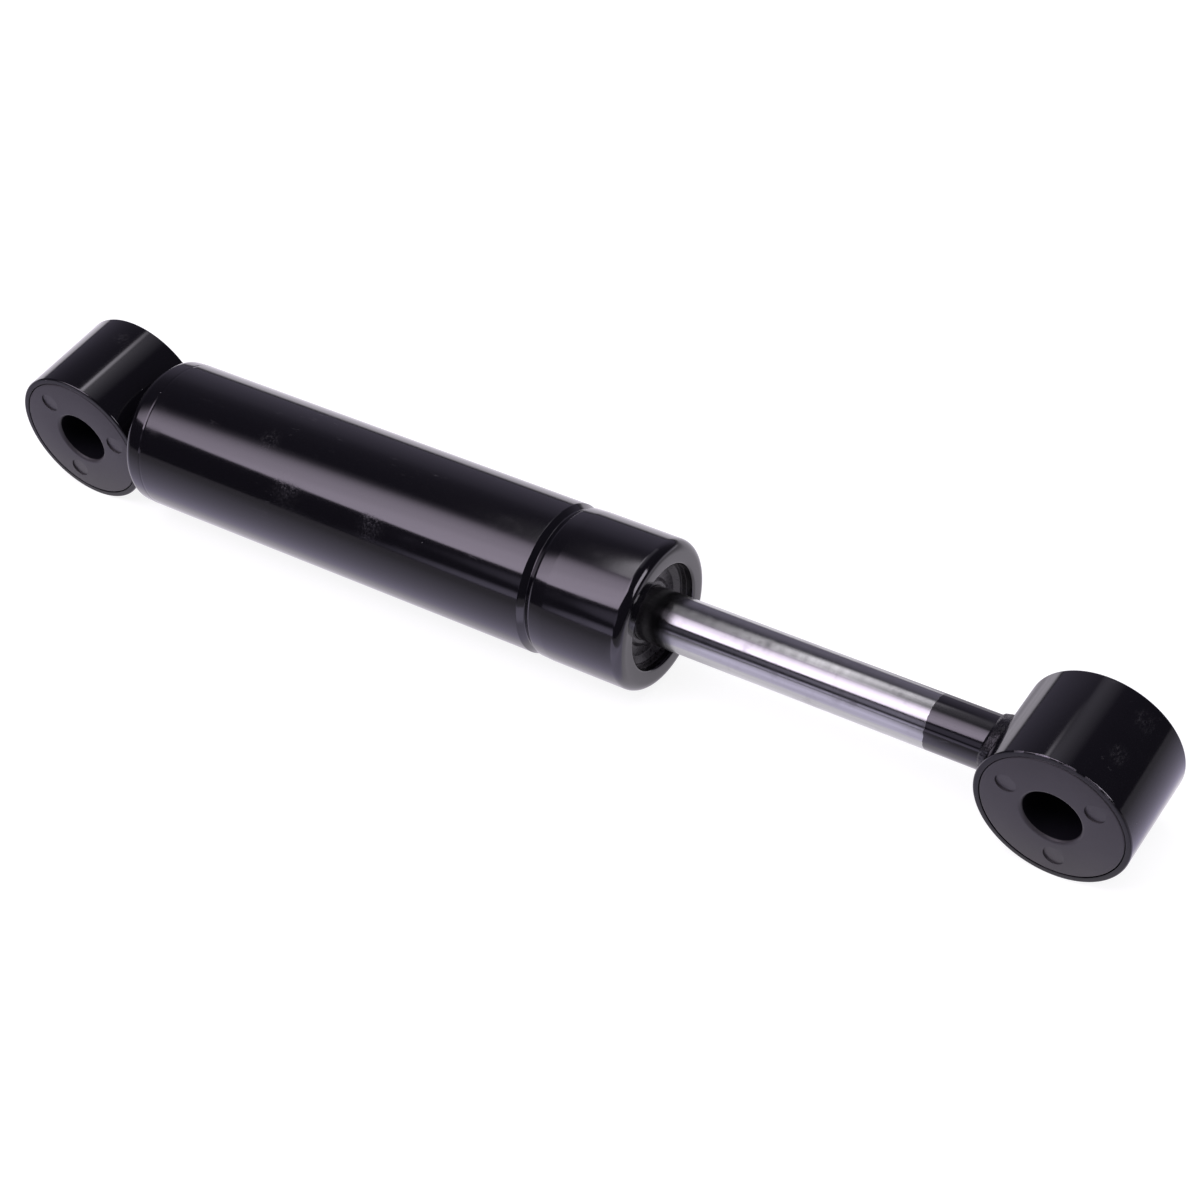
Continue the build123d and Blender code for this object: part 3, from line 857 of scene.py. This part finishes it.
def shade_lamp(lamp_object, across, up=None, corner=False):
    """Varies a lamp's brightness over its face. Stops are (place from 0 to 1, share)."""
    lamp_object.data.use_nodes = True
    graph = Graph(lamp_object.data.node_tree)
    x, y, _ = graph.split(graph.add("ShaderNodeNewGeometry").outputs["Parametric"])
    share = graph.curve(x, across)
    if up:
        share = graph.times(share, graph.curve(y, up))
    if corner:
        share = graph.times(share, round_corner(graph, x, y))
    emission = next(n for n in graph.tree.nodes if n.type == "EMISSION")
    graph.feed(emission.inputs["Strength"], share)


# %% [markdown]
# ## The lamps in front
#
# The soft box draws the broad strips along the tube and the rod. It isn't even, so stops of
# brightness run across it, and one corner is cut round. A smaller box lights the rod eye's flank
# and the mouth.

# %% Light it from the front
SOFT_BOX_ACROSS = ((0, 0), (0.075, 0.033), (0.125, 0.08), (0.175, 0.21), (0.2125, 0.32),
                   (0.2625, 0.47), (0.325, 0.59), (0.40, 0.70), (0.50, 0.76), (0.5875, 0.89),
                   (0.70, 0.92), (0.7875, 1), (0.88, 0.88), (1, 0.8))

soft_box = lamp("soft_box", (-0.4307, -0.5303, 1.0886), (-0.5587, -0.3912, 0.7314), 1.04, 1.20, 3.3,
                (1.0, 0.875, 1.09))
shade_lamp(soft_box, SOFT_BOX_ACROSS, corner=True)
side_box = lamp("side_box", *around_part(98, 31, 1.2), 0.6, 0.5, 3.4, (1.0, 0.94, 1.08))
print("in front:", soft_box.name, "and", side_box.name)

# %% [markdown]
# ## The lamps behind and above
#
# Two lamps behind are there for what they draw: the soft streaks on the eyes, and the second stripe
# along the rod. The fill from above reaches the floor and the dull surfaces, and it is hidden from
# reflections, because it would put a bright line along every round.

# %% Light it from behind and above
EDGE_LAMP_ACROSS = ((0, 0), (0.24, 0.5), (0.474, 0.85), (0.605, 1), (0.737, 1), (0.895, 0.7),
                    (1, 0))
ROD_LAMP_ACROSS = ((0, 0.01), (0.11, 0.025), (0.156, 0.08), (0.19, 0.55), (0.234, 1), (0.34, 0.88),
                   (0.406, 0.20), (0.4375, 0.12), (0.53, 0.11), (0.625, 0.06), (0.78, 0.02), (1, 0))
ROD_LAMP_UP = ((0, 0.4), (0.083, 0.65), (0.243, 0.75), (0.33, 0.85), (0.478, 0.95), (0.56, 0.9),
               (0.65, 0.75), (0.73, 0.60), (0.87, 0.12), (1, 0.03))

edge_lamp = lamp("edge_lamp", (0.09, 0.4528, 0.659), (0, 0.566, 0.824), 0.38, 0.6, 0.28,
                 (1.0, 0.95, 1.10))
shade_lamp(edge_lamp, EDGE_LAMP_ACROSS)
rod_lamp = lamp("rod_lamp", (-0.04, 0.25, 0.60), (0, -0.01, 1), 0.32, 0.60, 3.3, (1.0, 0.95, 1.05))
shade_lamp(rod_lamp, ROD_LAMP_ACROSS, ROD_LAMP_UP)
fill = lamp("fill", *around_part(0, 88, 1.5), 1.6, 1.6, 2.2, (1.0, 1.0, 1.0))
fill.visible_glossy = False

# %% [markdown]
# ## The floor
#
# The floor is a single wide face that the part lies on.

# %% Lay the floor
bm = bmesh.new()
bmesh.ops.create_grid(bm, x_segments=1, y_segments=1, size=6.0)
bmesh.ops.translate(bm, verts=bm.verts, vec=(0, 0, cad_box[0].z))
floor = finish_mesh(bm, "floor")

# %% [markdown]
# ## What the floor shows
#
# Its own colour is a grey that takes the part's shadow, and an even emission lifts what the camera
# sees of it to white. Gloss paint and chrome mirror the floor too, and there it carries painted
# light: a painted pool of light, bright close to the part and dim further off, which draws the soft
# shade on the undersides. A painted shadow makes it dimmer behind the rod, where it would make the
# lip of the mouth look pale, and a slanting patch of painted light in front of the rod, standing
# for light that the chrome throws down, is brighter, as the chrome asks. Light Path tells the kinds
# of rays apart, so the dull surfaces get no light from any of this.

# %% Paint the floor
FLOOR_GREY = (0.25, 0.245, 0.26, 1)
FLOOR_SEEN = 0.88
NEAR_TINT = (1.17, 1.11, 1.23, 1)
FAR_TINT = (1.03, 0.94, 1.32, 1)
PART_FRONT = 0.014
PART_RIGHT = 0.219
FADE = 0.026


def floor_glow(recipe, gap):
    """How bright the floor looks in reflections, by the distance from the part: a painted pool of
    light, a painted shadow behind the rod and a painted patch of light in front of it.
    """
    x, y = recipe.axis("X"), recipe.axis("Y")
    # Painted pool of light: in reflections the floor glows brighter close to the part.
    in_front = recipe.times(y, -1.0)
    near = recipe.math("DIVIDE", FADE, recipe.plus(gap, FADE))
    pool = recipe.largest(recipe.math("SUBTRACT", near, 0.17), 0.0)
    pool = recipe.times(pool, recipe.ramp(y, 0.16, 0.32, 1.0, 0.0))

    # Painted shadow: the pool is dimmed behind the rod, where the rod and the eye would shade the
    # floor.
    behind = recipe.math("SUBTRACT", y, recipe.ramp(x, 0.130, 0.145, -0.012, 0.008))
    left = recipe.ramp(x, 0.105, 0.125, 0.0, 0.25)
    right = recipe.ramp(x, 0.140, 0.165, 0.0, 0.50)
    depth = recipe.times(recipe.plus(left, right), recipe.ramp(x, 0.185, 0.200, 1.0, 0.0))
    shade = recipe.times(recipe.ramp(behind, 0.0, 0.010), depth)
    pool = recipe.times(pool, recipe.math("SUBTRACT", 1.0, shade))

    # Painted light: a slanting bright patch in front of the rod, standing for light that the chrome
    # throws onto the floor.
    slant = recipe.dot(recipe.place, (1.0, -0.38, 0.0))
    patch = recipe.times(recipe.ramp(slant, 0.124, 0.132),
                         recipe.ramp(slant, 0.177, 0.185, 1.0, 0.0))
    patch = recipe.times(patch, recipe.ramp(in_front, 0.015, 0.045, 0.0, 0.57))
    patch = recipe.times(patch, recipe.ramp(in_front, 0.15, 0.50, 1.0, 0.0))
    return recipe.plus(pool, patch)


def floor_sheet():
    recipe = Recipe("floor_sheet", Roughness=0.9, Specular_IOR_Level=0.0)
    recipe.set("Base Color", FLOOR_GREY)
    path = recipe.add("ShaderNodeLightPath").outputs
    in_front = recipe.times(recipe.axis("Y"), -1.0)
    gap = recipe.plus(
        recipe.largest(recipe.math("SUBTRACT", in_front, PART_FRONT), 0.0),
        recipe.largest(recipe.math("SUBTRACT", recipe.axis("X"), PART_RIGHT), 0.0))
    mirrored = recipe.times(path["Is Glossy Ray"], floor_glow(recipe, gap))
    straight = recipe.largest(path["Is Camera Ray"], path["Is Transmission Ray"])
    seen = recipe.times(straight, FLOOR_SEEN)
    tint = recipe.mix(recipe.ramp(gap, 0.0, 0.005), NEAR_TINT, FAR_TINT)
    recipe.set("Emission Color", recipe.mix(path["Is Glossy Ray"], (1, 1, 1, 1), tint))
    recipe.set("Emission Strength", recipe.plus(seen, mirrored))
    return recipe.material


floor.data.materials.append(floor_sheet())
print("made", floor.data.materials[0].name)

# %% [markdown]
# ## The room
#
# Reflections that miss lamps and floor see the room. It is dark, with a paler wall behind the part
# on the left, and two small pale panels in front, which soften the dark band on the rod. The camera
# sees it white. A dot product with a direction is the simplest mask on a sphere: it is 1 where one
# looks straight along it and falls off evenly all round.

# %% Paint the room
WALL = (-0.42, 0.906, 0)
WALL_STOPS = ((0, 0.04), (0.5, 0.03), (0.725, 0.045), (0.825, 0.07), (0.875, 0.11), (0.925, 0.19),
              (0.975, 0.24), (1, 0.25))
ROOM_TINT = (1.05, 0.95, 1.30)


def room():
    """Paints the room by direction: the wall's gradient and two round panels with soft edges."""
    world = bpy.data.worlds.new("room")
    bpy.context.scene.world = world
    world.use_nodes = True
    graph = Graph(world.node_tree)
    direction = graph.add("ShaderNodeTexCoord").outputs["Generated"]
    toward = graph.times(graph.plus(graph.dot(direction, WALL), 1.0), 0.5)
    grey = graph.curve(toward, WALL_STOPS)
    upper = graph.ramp(graph.dot(direction, (-0.282, -0.869, 0.407)), 0.9816, 0.9945, 0.0, 0.34)
    lower = graph.ramp(graph.dot(direction, (-0.358, -0.933, 0.035)), 0.9877, 0.9986, 0.0, 0.72)
    lit = graph.vectors("ADD", grey, graph.plus(upper, lower))
    tinted = graph.vectors("MULTIPLY", lit, ROOM_TINT)
    path = graph.add("ShaderNodeLightPath").outputs
    seen = graph.mix(path["Is Camera Ray"], tinted, (1, 1, 1, 1))
    graph.feed(graph.tree.nodes["Background"].inputs["Color"], seen)
    print("room:", len(world.node_tree.nodes), "nodes")


room()
bpy.context.scene.view_settings.view_transform = "Standard"
